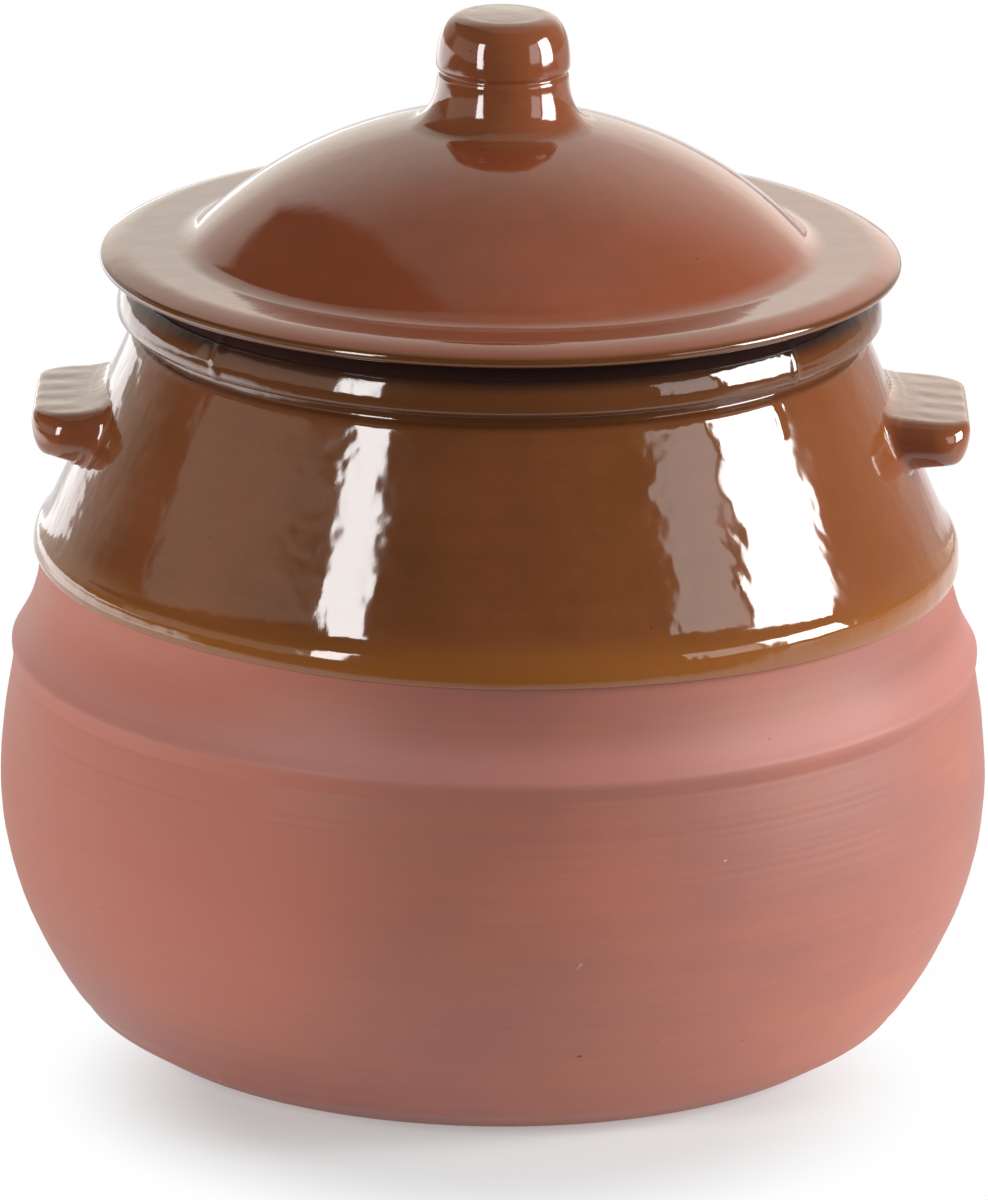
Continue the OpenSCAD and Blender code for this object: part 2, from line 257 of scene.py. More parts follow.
def pot_outside():
    """The pot's clay outside, from the edge of its resting face to the flat of the rim."""
    waist = [RIDGE_R - WAIST_DEPTH, WAIST_Z]
    # The last point only leads out of the bevel's upper corner, and is left out again
    foot = joined([BASE_R - 4, 0], [BASE_R, 0], [FOOT_R, FOOT_H], [FOOT_R + 2, FOOT_H + 5])
    return joined(
        softened(foot, radius=FOOT_EDGE)[:-1],
        swell([FOOT_R, FOOT_H], [BELLY_R, BELLY_Z], BELLY_FULLNESS, 40)[3:],
        ebb([BELLY_R, BELLY_Z], waist, WAIST_FULLNESS),
        bend(waist, [RIDGE_R, (WAIST_Z + RIDGE_Z) / 2], [RIDGE_R, RIDGE_Z]),
        swell([RIDGE_R, RIDGE_Z], [SHOULDER_R, SHOULDER_Z - SHOULDER_ROLL], COVE_FULLNESS),
        shoulder_bead(),
        collar())


def pot_inside():
    """The pot's clay inside, from the middle of the floor to the mouth."""
    up_shoulder = np.array([NECK_R - SHOULDER_R, NECK_Z - SHOULDER_Z])
    up_shoulder /= np.linalg.norm(up_shoulder)
    turn = up_shoulder * 2 * SHOULDER_ROLL
    shoulder = np.array([SHOULDER_R - WALL_T, SHOULDER_Z])
    neck = np.array([MOUTH_R, NECK_Z])
    return joined(
        [0, FLOOR_T],
        swell([FLOOR_R, FLOOR_T], [BELLY_R - WALL_T, BELLY_Z], FLOOR_FULLNESS, 40),
        [RIDGE_R - WALL_T, RIDGE_Z],
        bend(shoulder - [0, 2 * SHOULDER_ROLL], shoulder, shoulder + turn),
        bend(neck - turn, neck, [MOUTH_R, BAND_Z]),
        [MOUTH_R, POT_H - RIM_BEVEL])


def lid_top():
    """The lid's clay top, from the knob's seat round the flange's edge to its underside."""
    edge_z = FLANGE_Z - EDGE_DROP
    upright = [LID_R, edge_z - EDGE_UPRIGHT]
    t = np.linspace(0, 1, 25)
    roll = np.column_stack([LID_R + EDGE_ROLL * (t - 1), FLANGE_Z - EDGE_DROP * t ** 2])[:-3]
    return joined(
        arc([0, BALL_Z], BALL_R, SEAT_ANGLE, FILLET_ANGLE, 60),
        arc([FILLET_R, FILLET_Z], DOME_FILLET, 180 + FILLET_ANGLE, 270),
        roll,
        bend(roll[-1], [LID_R, edge_z + 0.1], upright)[1:],
        bend(upright, [LID_R, POT_H], [LID_R - EDGE_UNDER, POT_H]))


def knob_side():
    """The knob's outline, from its foot to the middle of its top, above its seat."""
    cap_z = GROOVE_Z + GROOVE_W / 2
    seat = math.radians(SEAT_ANGLE)
    foot = np.array([KNOB_FOOT_R * (1 + GLAZE_T / BALL_R), GLAZE_T * math.sin(seat)])
    turn = foot + (KNOB_FOOT_R - KNOB_R) * np.array([-1, 1 / math.tan(seat)])
    stem = bend(foot, turn, [KNOB_R - GROOVE_DEPTH / 3, GROOVE_Z - GROOVE_W / 2], 30)
    cap_foot = [KNOB_R, cap_z + (KNOB_H - cap_z) * CAP_STRAIGHT]
    groove = joined(stem[-3], stem[-1], [KNOB_R - GROOVE_DEPTH, GROOVE_Z], [KNOB_R, cap_z], cap_foot)
    crown = [KNOB_R * CAP_CROWN, KNOB_H - KNOB_R * CROWN_RISE]
    return joined(
        stem[:-3],
        softened(groove, radius=0.7),
        bend(cap_foot, [KNOB_R * CAP_SHOULDER, KNOB_H], crown, 30),
        bend(crown, [KNOB_R * CROWN_FLAT, KNOB_H], [0, KNOB_H], 10))


def wave_set(count, amplitude, around, rise):
    """Random ripples round the axis: height, waves round, waves per millimetre upwards, phase.

    around and rise are the lowest and the highest number of waves, round and upwards.
    """
    return [(amplitude * random.uniform(0.5, 1.0),
             int(random.integers(around[0], around[1] + 1)),
             random.uniform(rise[0], rise[1]) * random.choice([-1, 1]),
             random.uniform(0, 2 * math.pi)) for _ in range(count)]


def ripple(waves, angle, height):
    """The sum of the ripples at an angle and a height."""
    return sum(size * np.sin(around * angle + 2 * math.pi * rise * height + phase)
               for size, around, rise, phase in waves)


def make_mesh(name, points, close_rows):
    """A mesh from rows of points, whose columns run round and close."""
    rows, columns = points.shape[:2]
    index = np.arange(rows * columns).reshape(rows, columns)
    if close_rows:
        index = np.vstack([index, index[:1]])
    right = np.roll(index, -1, axis=1)
    faces = np.stack([index[:-1], right[:-1], right[1:], index[1:]], axis=-1).reshape(-1, 4)
    mesh = bpy.data.meshes.new(name)
    mesh.from_pydata((points.reshape(-1, 3) * MM).tolist(), [], faces.tolist())
    work = bmesh.new()
    work.from_mesh(mesh)
    bmesh.ops.remove_doubles(work, verts=work.verts, dist=1e-6)
    bmesh.ops.dissolve_degenerate(work, edges=work.edges, dist=1e-7)
    bmesh.ops.recalc_face_normals(work, faces=work.faces)
    work.to_mesh(mesh)
    work.free()
    mesh.shade_smooth()
    mesh.set_sharp_from_angle(angle=SHARP_ANGLE)
    piece = bpy.data.objects.new(name, mesh)
    bpy.context.scene.collection.objects.link(piece)
    return piece


def turned(name, outline, shaped=None, close_rows=True, columns=COLUMNS):
    """A piece turned about the axis. shaped gives radius and height from radius, height and angle."""
    angle = np.linspace(0, 2 * math.pi, columns, endpoint=False)[None, :]
    radius = np.repeat(outline[:, :1], columns, axis=1)
    height = np.repeat(outline[:, 1:], columns, axis=1)
    if shaped:
        radius, height = shaped(radius, height, angle)
    points = np.stack([radius * np.cos(angle), radius * np.sin(angle), height], axis=-1)
    return make_mesh(name, points, close_rows)


def finish_piece(piece, material, body, node):
    piece.data.materials.append(material)
    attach(piece, body)
    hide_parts(node)


def between(value, low, high):
    """0 below low, 1 above high, and a smooth step between them."""
    t = np.clip((value - low) / (high - low), 0, 1)
    return t * t * (3 - 2 * t)


def pot_clay(material):
    """The clay pot, with fine throwing lines on its bare part."""
    lines = wave_set(10, 0.011, (0, 1), (0.25, 0.6)) + wave_set(6, 0.03, (1, 3), (0.04, 0.12))
    outline = joined([0, 0], pot_outside(), [MOUTH_R + RIM_BEVEL, POT_H], pot_inside()[::-1])

    def shaped(radius, height, angle):
        outside = (radius > BASE_R) & (height > 1)
        bare = between(height, 2, 8) * (1 - between(height, GLAZE_Z - 6, GLAZE_Z - 2)) * outside
        return radius + ripple(lines, angle, height) * bare, height

    piece = turned("pot_clay", fine(outline, gap=1.2), shaped)
    finish_piece(piece, material, "pot", "pot_body")


def outer_coat(material):
    """The brown glaze outside, with a thick wavering lower edge and a rippled face."""
    waves = wave_set(14, 0.012, (3, 16), (0.01, 0.05)) + wave_set(12, 0.005, (20, 60), (0.03, 0.12))
    edge_waves = wave_set(6, 0.12, (2, 9), (0, 0))
    clay = pot_outside()
    start, end = ([np.interp(z, clay[:, 1], clay[:, 0]), z] for z in (GLAZE_Z, GLAZE_TOP_Z))
    clay = fine(joined(start, clay[(clay[:, 1] > GLAZE_Z) & (clay[:, 1] < GLAZE_TOP_Z)], end), gap=1.0)
    swollen = GLAZE_T + LIP_SWELL * np.exp(-((clay[:, 1] - GLAZE_Z - LIP_RISE) / LIP_WIDTH) ** 2)
    face = skin(clay, swollen)
    roll = bend(clay[0] - [UNDERLAP, 0.4], face[0] - [0.05, 1.0], face[1], 6)
    under = skin(clay[::-1], UNDERLAP)
    outline = joined(roll, face[2:], under)
    face_rows = len(joined(roll, face[2:]))
    on_face = (np.arange(len(outline)) < face_rows)[:, None]

    def shaped(radius, height, angle):
        low = 1 - between(height, GLAZE_Z + 0.5, GLAZE_Z + 3.5)
        line = ripple(edge_waves, angle, 0 * height) - GLAZE_TILT * np.cos(angle)
        thick = ripple(waves, angle, height)
        for azimuth, bottom, top, size, half_width in GLAZE_RUNS:
            across = np.sin(angle - math.radians(azimuth - 90)) * radius / half_width
            in_front = np.cos(angle - math.radians(azimuth - 90)) > 0
            along = between(height, bottom, bottom + 2) * (1 - between(height, top - 2, top))
            thick = thick + size * np.exp(-across ** 2) * in_front * along
        return radius + thick * on_face, height + line * low

    piece = turned("outer_glaze_coat", outline, shaped, columns=2 * COLUMNS)
    finish_piece(piece, material, "pot", "outer_glaze")


def inner_coat(material):
    """The lining glaze, with the soft rings of throwing under it."""
    rings = wave_set(6, 0.05, (0, 1), (0.05, 0.14)) + wave_set(8, 0.012, (3, 12), (0.01, 0.06))
    clay = fine(pot_inside(), gap=1.4)
    face = skin(clay, -GLAZE_T)
    face[0, 0] = 0
    under = skin(clay[::-1], -UNDERLAP)
    under[-1, 0] = 0
    outline = joined(face, under)
    on_face = (np.arange(len(outline)) < len(face))[:, None]

    def shaped(radius, height, angle):
        wall = between(radius, 20, 60)
        return radius - (ripple(rings, angle, height) + 0.1) * wall * on_face, height

    piece = turned("lining_coat", outline, shaped)
    finish_piece(piece, material, "pot", "inner_glaze")


def lid_clay(material):
    """The lid's clay: bare underneath, with its ring and its hollow."""
    inner_r = RING_R - RING_W
    hollow_edge = min(inner_r, math.sqrt((BALL_R - LID_WALL) ** 2 - (POT_H - BALL_Z) ** 2))
    rise = FLANGE_T + DOME_H - LID_WALL
    hollow_r = (hollow_edge ** 2 + rise ** 2) / (2 * rise)
    hollow_z = POT_H + rise - hollow_r
    start = math.degrees(math.asin((POT_H - hollow_z) / hollow_r))
    under = joined(
        [LID_R - EDGE_UNDER, POT_H],
        [RING_R, POT_H], [RING_R, POT_H - RING_H], [inner_r, POT_H - RING_H], [inner_r, POT_H],
        arc([0, hollow_z], hollow_r, start, 90, 40))
    lines = wave_set(8, 0.03, (0, 1), (0.15, 0.5))
    seat = arc([0, BALL_Z], BALL_R, 90, SEAT_ANGLE)
    outline = joined(seat, lid_top()[:-1], softened(under, radius=0.8))

    def shaped(radius, height, angle):
        inside = (radius < inner_r) & (height < SEAT_Z - 2)
        return radius + ripple(lines, angle, radius) * inside * between(radius, 4, 20), height

    piece = turned("lid_clay", fine(outline, gap=1.4), shaped)
    finish_piece(piece, material, "lid", "lid_body")


def lid_coat(material):
    """The glaze on top of the lid."""
    waves = wave_set(10, 0.010, (2, 9), (0.01, 0.04)) + wave_set(8, 0.003, (12, 40), (0.02, 0.08))
    clay = fine(lid_top(), gap=1.0)
    face = skin(clay, -GLAZE_T)
    roll = bend(face[-1], face[-1] - [LID_CURL, 0], clay[-1] + [-LID_CURL, UNDERLAP], 5)[1:]
    under = skin(clay[::-1], -UNDERLAP)
    outline = joined(face, roll, under)
    on_face = (np.arange(len(outline)) < len(face))[:, None]

    def shaped(radius, height, angle):
        away = between(radius, KNOB_FOOT_R + 2, KNOB_FOOT_R + 12)
        return radius, height + ripple(waves, angle, radius) * on_face * away

    piece = turned("lid_glaze_coat", outline, shaped)
    finish_piece(piece, material, "lid", "lid_glaze")


def knob(material):
    """The turned knob."""
    waves = wave_set(8, 0.015, (2, 5), (0.02, 0.1))
    side = fine(knob_side(), gap=0.6)
    outline = joined(arc([0, BALL_Z], BALL_R, 90, SEAT_ANGLE), side + [0, SEAT_Z])

    def shaped(radius, height, angle):
        upper = between(height, SEAT_Z + 2, SEAT_Z + 8) * between(radius, 2, 8)
        return radius + ripple(waves, angle, height) * upper, height

    piece = turned("turned_knob", outline, shaped, close_rows=False, columns=KNOB_COLUMNS)
    finish_piece(piece, material, "lid", "lid_knob")


def shoulder_at(height):
    """Radius of the glazed shoulder at a height."""
    return on_shoulder(height - SHOULDER_Z)[0] + GLAZE_T


def lug_ring():
    """The rim of a lug's cross-section: share of the half width, and -1 to 1 from bottom to top."""
    half_w, half_t = LUG_W / 2, LUG_T / 2
    corner = [half_w - LUG_EDGE, half_t - LUG_EDGE]
    quarter = [arc([sx * corner[0], sy * corner[1]], LUG_EDGE, start, start + 90, 6)
               for sx, sy, start in ((1, 1, 0), (-1, 1, 90), (-1, -1, 180), (1, -1, 270))]
    ring = fine(joined(*quarter, quarter[0][:1]), gap=0.8)[:-1]
    return ring[:, 0] / half_w, ring[:, 1] / half_t


def flute_cut(across):
    """Depth of the flutes at a place across a lug."""
    fluted = np.abs(across) < FLUTE_COUNT * FLUTE_PITCH / 2
    return FLUTE_DEPTH * np.cos(math.pi * across / FLUTE_PITCH) ** 2 * fluted


def lug_top(from_tip, length, fall):
    """Height of a lug's falling top face at a distance from its tip."""
    if from_tip < NOSE_TOP:
        return NOSE_Z - NOSE_TOP * (1 - math.sqrt(from_tip / NOSE_TOP)) ** 2
    return NOSE_Z + fall * (from_tip - NOSE_TOP) / (length - NOSE_TOP)


def lug_bottom(from_tip, length, drop):
    """Height of a lug's underside at a distance from its tip."""
    low = NOSE_Z - LUG_T
    if from_tip < NOSE_LOW:
        return low + (LUG_T - NOSE_TOP) * (1 - math.sqrt(from_tip / NOSE_LOW)) ** 2
    return low - drop * (from_tip - NOSE_LOW) / (length - NOSE_LOW)


def lug_section(from_tip, ring, length, fall, drop):
    """Points of a lug's cross-section at a distance from its tip: across and height."""
    share, level = ring
    inset = LUG_CORNER - math.sqrt(max(0.0, LUG_CORNER ** 2 - max(0.0, LUG_CORNER - from_tip) ** 2))
    across = share * (LUG_W / 2 - inset)
    top, bottom = lug_top(from_tip, length, fall), lug_bottom(from_tip, length, drop)
    height = (top + bottom) / 2 + level * (top - bottom) / 2
    fade = between(length - from_tip, 4, 9) * between(from_tip, 0, 1.5)
    return across, height - flute_cut(across) * between(level, 0.55, 1.0) * fade


def lug(name, material, side, node, longer, higher, fall, drop):
    """A fluted shelf lug with round edges, which spreads into the shoulder at its root."""
    ring = lug_ring()
    tip = shoulder_at(LUG_Z) - GLAZE_T + LUG_OUT + longer
    length = tip - shoulder_at(LUG_Z)
    across, height = lug_section(length, ring, length, fall, drop)
    turn_y = np.roll(height, 1) - np.roll(height, -1)
    turn_z = np.roll(across, -1) - np.roll(across, 1)
    outward = np.column_stack([turn_y, turn_z])
    outward /= np.linalg.norm(outward, axis=1)[:, None]

    def onto_cone(y, z, out=0.0):
        return np.column_stack([np.sqrt(shoulder_at(z) ** 2 - y ** 2) + out, y, z])

    seam = onto_cone(across, height)
    fillet = LUG_FILLET * (0.4 + 0.6 * outward[:, 1] ** 2)
    spread = onto_cone(across - outward[:, 0] * fillet, height - outward[:, 1] * fillet, -ROOT_SINK)
    start = onto_cone(across, height, LUG_FILLET)
    inside = np.repeat(spread.mean(axis=0)[None, :] - [ROOT_DEPTH, 0, 0], len(spread), axis=0)
    rows = [inside]
    for t in np.linspace(0, 1, 9):
        rows.append(spread * (1 - t) ** 2 + seam * 2 * t * (1 - t) + start * t ** 2)
    straight = np.linspace(0, 1, 14)[1:]
    round_part = LUG_CORNER * (1 - np.sin(np.linspace(0, math.pi / 2, 16)[1:]))
    straight_part = (length - LUG_FILLET) * (1 - straight) + LUG_CORNER * straight
    for from_tip in np.concatenate([straight_part, round_part]):
        y, z = lug_section(from_tip, ring, length, fall, drop)
        near_root = np.sqrt(shoulder_at(z) ** 2 - y ** 2) + LUG_FILLET
        reach = (length - LUG_FILLET - from_tip) / (length - LUG_FILLET)
        x = near_root + (tip - near_root) * reach
        rows.append(np.column_stack([x, y, z]))
    points = np.stack(rows)
    points[..., 0] *= side
    root = shoulder_at(LUG_Z)
    points[..., 2] += higher * between(np.abs(points[..., 0]), root, root + 6)
    piece = make_mesh(name, points, False)
    finish_piece(piece, material, "pot", node)


def linear(red, green, blue):
    """A colour given as 0 to 255 on a screen, in light."""
    def one(c):
        c /= 255
        return c / 12.92 if c <= 0.04045 else ((c + 0.055) / 1.055) ** 2.4
    return one(red), one(green), one(blue), 1.0


class Nodes:
    """A material's node tree, with short ways to add to it."""

    def __init__(self, tree):
        self.tree = tree

    def add(self, kind, **values):
        node = self.tree.nodes.new(kind)
        for key, value in values.items():
            setattr(node, key, value)
        return node

    def link(self, a, b):
        self.tree.links.new(a, b)

    def noise(self, where, stretch, scale, detail=4.0, roughness=0.55):
        """Noise in the part's own frame, stretched along its axes."""
        mapping = self.add("ShaderNodeMapping")
        mapping.inputs["Scale"].default_value = stretch
        self.link(where, mapping.inputs["Vector"])
        node = self.add("ShaderNodeTexNoise")
        node.inputs["Scale"].default_value = scale
        node.inputs["Detail"].default_value = detail
        node.inputs["Roughness"].default_value = roughness
        self.link(mapping.outputs["Vector"], node.inputs["Vector"])
        return node.outputs["Fac"]

    def ramp(self, value, stops):
        node = self.add("ShaderNodeValToRGB")
        while len(node.color_ramp.elements) < len(stops):
            node.color_ramp.elements.new(0.5)
        for element, (place, colour) in zip(node.color_ramp.elements, stops):
            element.position = place
            element.color = colour
        self.link(value, node.inputs["Fac"])
        return node.outputs["Color"]

    def steps(self, value, low, high, out_low=0.0, out_high=1.0):
        """A smooth step of a value."""
        node = self.add("ShaderNodeMapRange", interpolation_type="SMOOTHSTEP")
        names = ("From Min", "From Max", "To Min", "To Max")
        for name, number in zip(names, (low, high, out_low, out_high)):
            node.inputs[name].default_value = number
        self.link(value, node.inputs["Value"])
        return node.outputs["Result"]

    def maths(self, operation, a, b):
        node = self.add("ShaderNodeMath", operation=operation)
        for socket, value in zip(node.inputs, (a, b)):
            if isinstance(value, (int, float)):
                socket.default_value = value
            else:
                self.link(value, socket)
        return node.outputs["Value"]

    def product(self, *values):
        result = values[0]
        for value in values[1:]:
            result = self.maths("MULTIPLY", result, value)
        return result

    def weighted(self, *parts):
        """The sum of values, each given with its weight."""
        result = self.maths("MULTIPLY", *parts[0])
        for value, weight in parts[1:]:
            result = self.maths("ADD", result, self.maths("MULTIPLY", value, weight))
        return result

    def along(self, where, vector):
        """How far a place lies along a vector."""
        node = self.add("ShaderNodeVectorMath", operation="DOT_PRODUCT")
        self.link(where, node.inputs[0])
        node.inputs[1].default_value = vector
        return node.outputs["Value"]

    def mix(self, share, a, b):
        """A mix of two colours, each a socket or a constant."""
        node = self.add("ShaderNodeMix", data_type="RGBA")
        self.link(share, node.inputs["Factor"])
        for socket, value in ((node.inputs[6], a), (node.inputs[7], b)):
            if isinstance(value, tuple):
                socket.default_value = value
            else:
                self.link(value, socket)
        return node.outputs[2]

    def bump(self, height, distance, strength=1.0, normal=None):
        node = self.add("ShaderNodeBump")
        node.inputs["Distance"].default_value = distance
        node.inputs["Strength"].default_value = strength
        self.link(height, node.inputs["Height"])
        if normal:
            self.link(normal, node.inputs["Normal"])
        return node.outputs["Normal"]


def new_material(name):
    material = bpy.data.materials.new(name)
    material.use_nodes = True
    nodes = Nodes(material.node_tree)
    shader = material.node_tree.nodes["Principled BSDF"]
    where = nodes.add("ShaderNodeTexCoord").outputs["Object"]
    return material, nodes, shader, where


def clay_material():
    """Matt red clay with throwing lines, mottling and specks, painted warm light at the left and a
    painted sheen above the ridge.
    """
    material, nodes, shader, where = new_material("red_earthenware")
    mottle = nodes.noise(where, (1, 1, 1.6), 14, 5)
    bands = nodes.noise(where, (0.03, 0.03, 1), 220, 3)
    lines = nodes.noise(where, (0.008, 0.008, 1), 900, 3, 0.65)
    grain = nodes.noise(where, (1, 1, 1), 1500, 3, 0.7)
    dark, middle, pale = linear(151, 95, 86), linear(163, 100, 86), linear(175, 106, 85)
    mixed = nodes.weighted((mottle, 0.62), (bands, 0.14), (lines, 0.14), (grain, 0.1))
    colour = nodes.ramp(mixed, [(0.36, dark), (0.5, middle), (0.64, pale)])
    split = nodes.add("ShaderNodeSeparateXYZ")
    nodes.link(where, split.inputs[0])
    to_right, up = split.outputs["X"], split.outputs["Z"]
    # Painted light: the left side, above the foot, is mixed towards a lighter, warmer clay colour that
    # stands in for warm light from the left.
    painted_left_light = nodes.product(nodes.steps(to_right, 0, -60 * MM, 0, 0.8), nodes.steps(up, 10 * MM, 60 * MM))
    colour = nodes.mix(painted_left_light, colour, linear(188, 109, 88))
    # Painted sheen: a paler band just above the ridge, where the surface tilts up towards the light.
    painted_ridge_sheen = nodes.product(
        nodes.steps(up, (RIDGE_Z + 12) * MM, (RIDGE_Z + 3.5) * MM, 0, 0.75),
        nodes.steps(up, (RIDGE_Z - 2) * MM, (RIDGE_Z + 1) * MM))
    colour = nodes.mix(painted_ridge_sheen, colour, linear(186, 121, 111))
    specks = nodes.steps(nodes.noise(where, (1, 1, 1.2), 210, 1), 0.80, 0.83)
    colour = nodes.mix(specks, colour, linear(206, 160, 142))
    pits = nodes.steps(nodes.noise(where, (1, 1, 1.5), 260, 1), 0.19, 0.17)
    colour = nodes.mix(pits, colour, linear(112, 66, 56))
    nodes.link(colour, shader.inputs["Base Color"])
    nodes.link(nodes.steps(mottle, 0.3, 0.7, 0.5, 0.6), shader.inputs["Roughness"])
    height = nodes.weighted((lines, 0.6), (grain, 0.4))
    nodes.link(nodes.bump(height, 0.00006), shader.inputs["Normal"])
    return material


def glaze_material(name, thick, middle, thin, ripples=0.0003, edges=()):
    """Glossy glaze with soft ripples and pinholes.

    edges are changes of colour. Each is a direction, the places along it where the change starts and
    is full, its share and its colour.
    """
    material, nodes, shader, where = new_material(name)
    runs = nodes.noise(where, (1, 1, 0.35), 22, 5)
    cloud = nodes.noise(where, (1, 1, 1), 60, 4)
    fleck = nodes.noise(where, (1, 1, 1), 520, 3, 0.7)
    streak = nodes.noise(where, (0.04, 0.04, 1), 330, 3, 0.6)
    mixed = nodes.weighted((runs, 0.5), (cloud, 0.24), (fleck, 0.1), (streak, 0.16))
    colour = nodes.ramp(mixed, [(0.36, thick), (0.5, middle), (0.64, thin)])
    for vector, start, end, share, other in edges:
        edge = nodes.steps(nodes.along(where, vector), start * MM, end * MM, 0, share)
        colour = nodes.mix(edge, colour, other)
    holes = nodes.steps(nodes.noise(where, (1, 1, 1), 420, 1), 0.20, 0.18)
    colour = nodes.mix(holes, colour, linear(88, 48, 28))
    nodes.link(colour, shader.inputs["Base Color"])
    nodes.link(nodes.steps(cloud, 0.3, 0.7, 0.05, 0.1), shader.inputs["Roughness"])
    shader.inputs["IOR"].default_value = GLAZE_INDEX
    wave = nodes.noise(where, (1, 1, 0.7), 95, 2)
    normal = nodes.bump(wave, ripples)
    normal = nodes.bump(holes, 0.00005, -1.0, normal)
    nodes.link(nodes.bump(fleck, 0.00001, 1.0, normal), shader.inputs["Normal"])
    return material


def camera():
    """A long lens at the photograph's angle, turned a little, as the photograph is."""
    back = Vector((0, -math.cos(CAMERA_ELEVATION), math.sin(CAMERA_ELEVATION)))
    right = Vector((1, 0, 0))
    up = back.cross(right)
    across = right * math.cos(CAMERA_ROLL) + up * math.sin(CAMERA_ROLL)
    upwards = up * math.cos(CAMERA_ROLL) - right * math.sin(CAMERA_ROLL)
    place = CAMERA_AIM + back * CAMERA_DISTANCE
    data = bpy.data.cameras.new("camera")
    data.sensor_width = SENSOR
    data.lens = FOCAL_PIXELS * SENSOR / max(PHOTO_W, PHOTO_H)
    data.clip_end = 50
    item = bpy.data.objects.new("camera", data)
    turn = Matrix((across, upwards, back)).transposed().to_4x4()
    item.matrix_world = Matrix.Translation(place) @ turn
    bpy.context.scene.collection.objects.link(item)
    bpy.context.scene.camera = item


def direction(azimuth, elevation):
    """Unit vector; azimuth 0 is towards the photograph's viewer and 90 is to the right."""
    a, e = math.radians(azimuth), math.radians(elevation)
    return Vector((math.sin(a) * math.cos(e), -math.cos(a) * math.cos(e), math.sin(e)))


def softbox(name, azimuth, elevation, width, height, radiance, distance=1.4):
    """A rectangular soft light, whose width and height are the angles that it fills from the pot."""
    data = bpy.data.lights.new(name, "AREA")
    data.shape = "RECTANGLE"
    data.size = 2 * distance * math.tan(math.radians(width / 2))
    data.size_y = 2 * distance * math.tan(math.radians(height / 2))
    data.energy = radiance * data.size * data.size_y * math.pi
    item = bpy.data.objects.new(name, data)
    out = direction(azimuth, elevation)
    item.location = LIGHT_AIM + out * distance
    item.rotation_mode = "QUATERNION"
    item.rotation_quaternion = (-out).to_track_quat("-Z", "Y")
    item.visible_camera = False
    bpy.context.scene.collection.objects.link(item)


def studio_world():
    """White to the camera. To the part, a white sheet behind and overhead, and a dim room in front."""
    world = bpy.data.worlds.new("studio")
    world.use_nodes = True
    bpy.context.scene.world = world
    nodes = Nodes(world.node_tree)
    shader = world.node_tree.nodes["Background"]
    where = nodes.add("ShaderNodeTexCoord").outputs["Generated"]

    def facing(vector):
        return nodes.along(where, Vector(vector).normalized())

    shader.inputs["Color"].default_value = (1, 0.965, 0.87, 1)
    across, back = facing((1, 0, 0)), facing((0, 1, 0))
    low = nodes.steps(facing((0, 0, 1)), 0.5, 0.4)
    # The sheet ends at the upper left, and is dimmer overhead and towards its sides
    sheet = nodes.steps(facing((0, 0.75, 0.66)), 0.3, 0.6)
    cut = nodes.maths("MAXIMUM", nodes.steps(facing((0.82, 0.34, 0.27)), -0.03, 0.05), low)
    overhead = nodes.steps(back, 0.25, 0.85, 0.4, 1.12)
    brightness = nodes.maths("ADD", overhead, nodes.steps(back, 0.86, 0.96, 0, 0.42))
    left_end = nodes.steps(across, -0.75, -0.3, 0.6)
    right_end = nodes.steps(across, 0.75, 0.3, 0.3)
    light = nodes.product(sheet, cut, brightness, left_end, right_end)
    # A low panel stands at the left
    panel = nodes.product(nodes.steps(across, -0.6, -0.72), nodes.steps(back, 0.24, 0.16), low, 0.55)
    level = nodes.maths("MAXIMUM", nodes.maths("MAXIMUM", light, panel), 0.05)
    to_camera = nodes.add("ShaderNodeLightPath").outputs["Is Camera Ray"]
    unseen = nodes.product(level, nodes.maths("SUBTRACT", 1.0, to_camera))
    nodes.link(nodes.maths("MAXIMUM", to_camera, unseen), shader.inputs["Strength"])


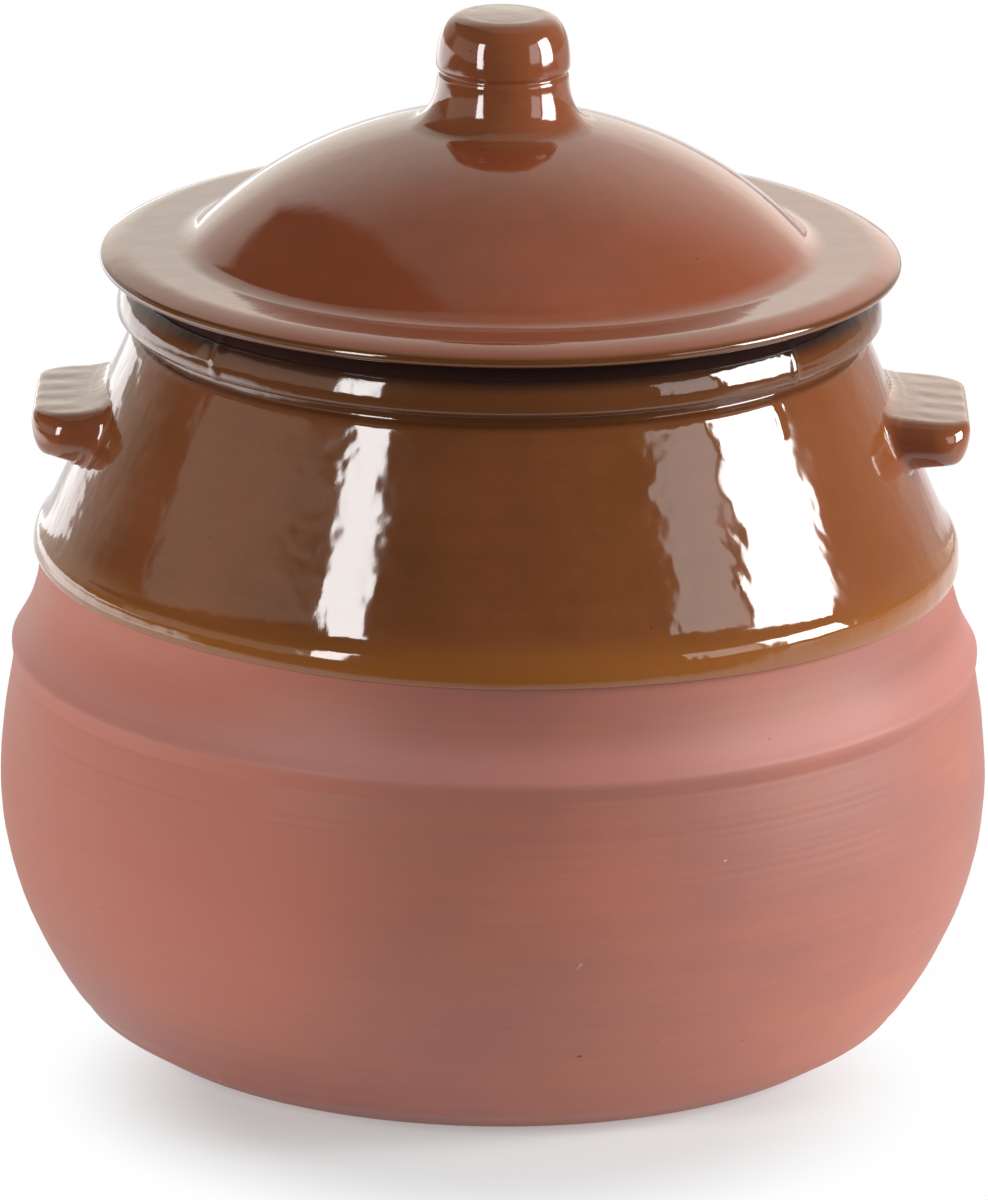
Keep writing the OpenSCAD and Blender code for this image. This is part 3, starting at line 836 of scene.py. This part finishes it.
def floor():
    """A pale floor that keeps the part's shadow, shows white farther off and is dim far in front.
    Beside and behind the part it glows and so lights the part, more at the left and less at the right.
    """
    half, low = 12.0, -0.0004
    mesh = bpy.data.meshes.new("floor")
    corners = [(-half, -half, low), (half, -half, low), (half, half, low), (-half, half, low)]
    mesh.from_pydata(corners, [], [(0, 1, 2, 3)])
    item = bpy.data.objects.new("floor", mesh)
    bpy.context.scene.collection.objects.link(item)
    material = bpy.data.materials.new("pale_floor")
    material.use_nodes = True
    nodes = Nodes(material.node_tree)
    material.node_tree.nodes.remove(material.node_tree.nodes["Principled BSDF"])
    where = nodes.add("ShaderNodeNewGeometry").outputs["Position"]

    def away_from(place):
        node = nodes.add("ShaderNodeVectorMath", operation="DISTANCE")
        nodes.link(where, node.inputs[0])
        node.inputs[1].default_value = place
        return node.outputs["Value"]

    away, away_behind = away_from((0, -0.06, 0)), away_from((0, 0.06, 0))
    split = nodes.add("ShaderNodeSeparateXYZ")
    nodes.link(where, split.inputs[0])
    to_right, to_back = split.outputs["X"], split.outputs["Y"]
    in_front = nodes.steps(to_back, -0.36, -0.16, 1.0, 0.0)
    reach = nodes.maths("MAXIMUM", nodes.steps(to_back, 0.3, 0.7), nodes.steps(away, 1.2, 0.8))
    dark = nodes.maths("MAXIMUM", in_front, nodes.maths("SUBTRACT", 1.0, reach))
    paper = nodes.add("ShaderNodeBsdfDiffuse")
    nodes.link(nodes.mix(dark, (0.81, 0.86, 0.88, 1), (0.06, 0.06, 0.06, 1)), paper.inputs["Color"])
    white = nodes.add("ShaderNodeEmission")
    white.inputs["Color"].default_value = (1, 1, 1, 1)
    to_camera = nodes.add("ShaderNodeLightPath").outputs["Is Camera Ray"]
    # Painted light: for rays other than the camera's, the floor beside and behind the part glows and
    # lights it, more strongly at the left and more weakly at the right.
    lighter_left = nodes.steps(to_right, -0.3, -0.55, 0.0, 1.6)
    dimmer_right = nodes.steps(to_right, 0.3, 0.8, 0.0, 0.5)
    change = nodes.maths("SUBTRACT", lighter_left, dimmer_right)
    unseen_change = nodes.product(change, nodes.maths("SUBTRACT", 1.0, to_camera))
    nodes.link(nodes.maths("ADD", unseen_change, 1.0), white.inputs["Strength"])
    beside = nodes.steps(to_back, -0.3, -0.1)
    lit = nodes.maths("MAXIMUM", to_camera, nodes.product(beside, reach))
    share = nodes.maths("MINIMUM", nodes.steps(away, 0.06, 0.11, 0.3, 1.0),
                        nodes.steps(away_behind, 0.07, 0.12, 0.3, 1.0))
    both = nodes.add("ShaderNodeMixShader")
    nodes.link(nodes.product(share, lit), both.inputs[0])
    nodes.link(paper.outputs[0], both.inputs[1])
    nodes.link(white.outputs[0], both.inputs[2])
    nodes.link(both.outputs[0], material.node_tree.nodes["Material Output"].inputs["Surface"])
    mesh.materials.append(material)


def lights():
    softbox("left_softbox", -39, 17, width=10.5, height=32, radiance=12, distance=0.9)
    softbox("right_softbox", 82, 14, width=24, height=30, radiance=16)
    softbox("right_reflector", 57, 14, width=17, height=26, radiance=2.2)


def build():
    clay = clay_material()
    brown = glaze_material("brown_glaze", linear(130, 74, 44), linear(140, 79, 50), linear(150, 85, 55))
    amber = ((0, 0, 1), GLAZE_Z + 13, GLAZE_Z + 3, 0.8, linear(150, 90, 38))
    # Painted shade: the top of the collar, under the lid's flange, is near-black all round.
    painted_shade_under_lid = ((0, 0, 1), ROLL_Z + 3.4, ROLL_Z + 7.6, 1.0, linear(34, 22, 20))
    # The shoulder's glaze turns lighter towards the right.
    lighter_right = ((1, 0, 0), 40, 100, 0.8, linear(142, 82, 50))
    # Painted shade: the collar, from the neck's groove upwards, is darker, as the groove and the lid's
    # overhang shade it.
    painted_collar_shade = ((0, 0, 1), NECK_Z - 0.5, NECK_Z + 1.5, 0.8, linear(98, 57, 29))
    coat = glaze_material(
        "shoulder_glaze", linear(107, 63, 30), linear(119, 69, 37), linear(132, 75, 44),
        edges=(lighter_right, amber, painted_collar_shade, painted_shade_under_lid))
    rim = ((0, 0, 1), FLANGE_Z - 0.9, FLANGE_Z - 1.9, 0.9, linear(98, 56, 20))
    # The lid's glaze turns lighter towards the right.
    lid_lighter_right = ((1, 0, 0), 0, 90, 0.6, linear(164, 90, 64))
    lid_brown = glaze_material(
        "lid_glaze", linear(134, 69, 42), linear(143, 74, 46), linear(152, 79, 50),
        ripples=0.0001, edges=(lid_lighter_right, rim))
    lining = glaze_material(
        "lining_glaze", linear(122, 76, 36), linear(140, 88, 42), linear(158, 100, 52))
    pot_clay(clay)
    outer_coat(coat)
    inner_coat(lining)
    lug("right_shelf_lug", brown, 1, "right_lug", longer=0.6, higher=0.1, fall=1.5, drop=0.9)
    lug("left_shelf_lug", brown, -1, "left_lug", longer=-0.9, higher=-0.6, fall=0.7, drop=2.2)
    lid_clay(clay)
    lid_coat(lid_brown)
    knob(brown)


camera()
bpy.context.scene.view_settings.view_transform = "Standard"
build()
floor()
lights()
studio_world()
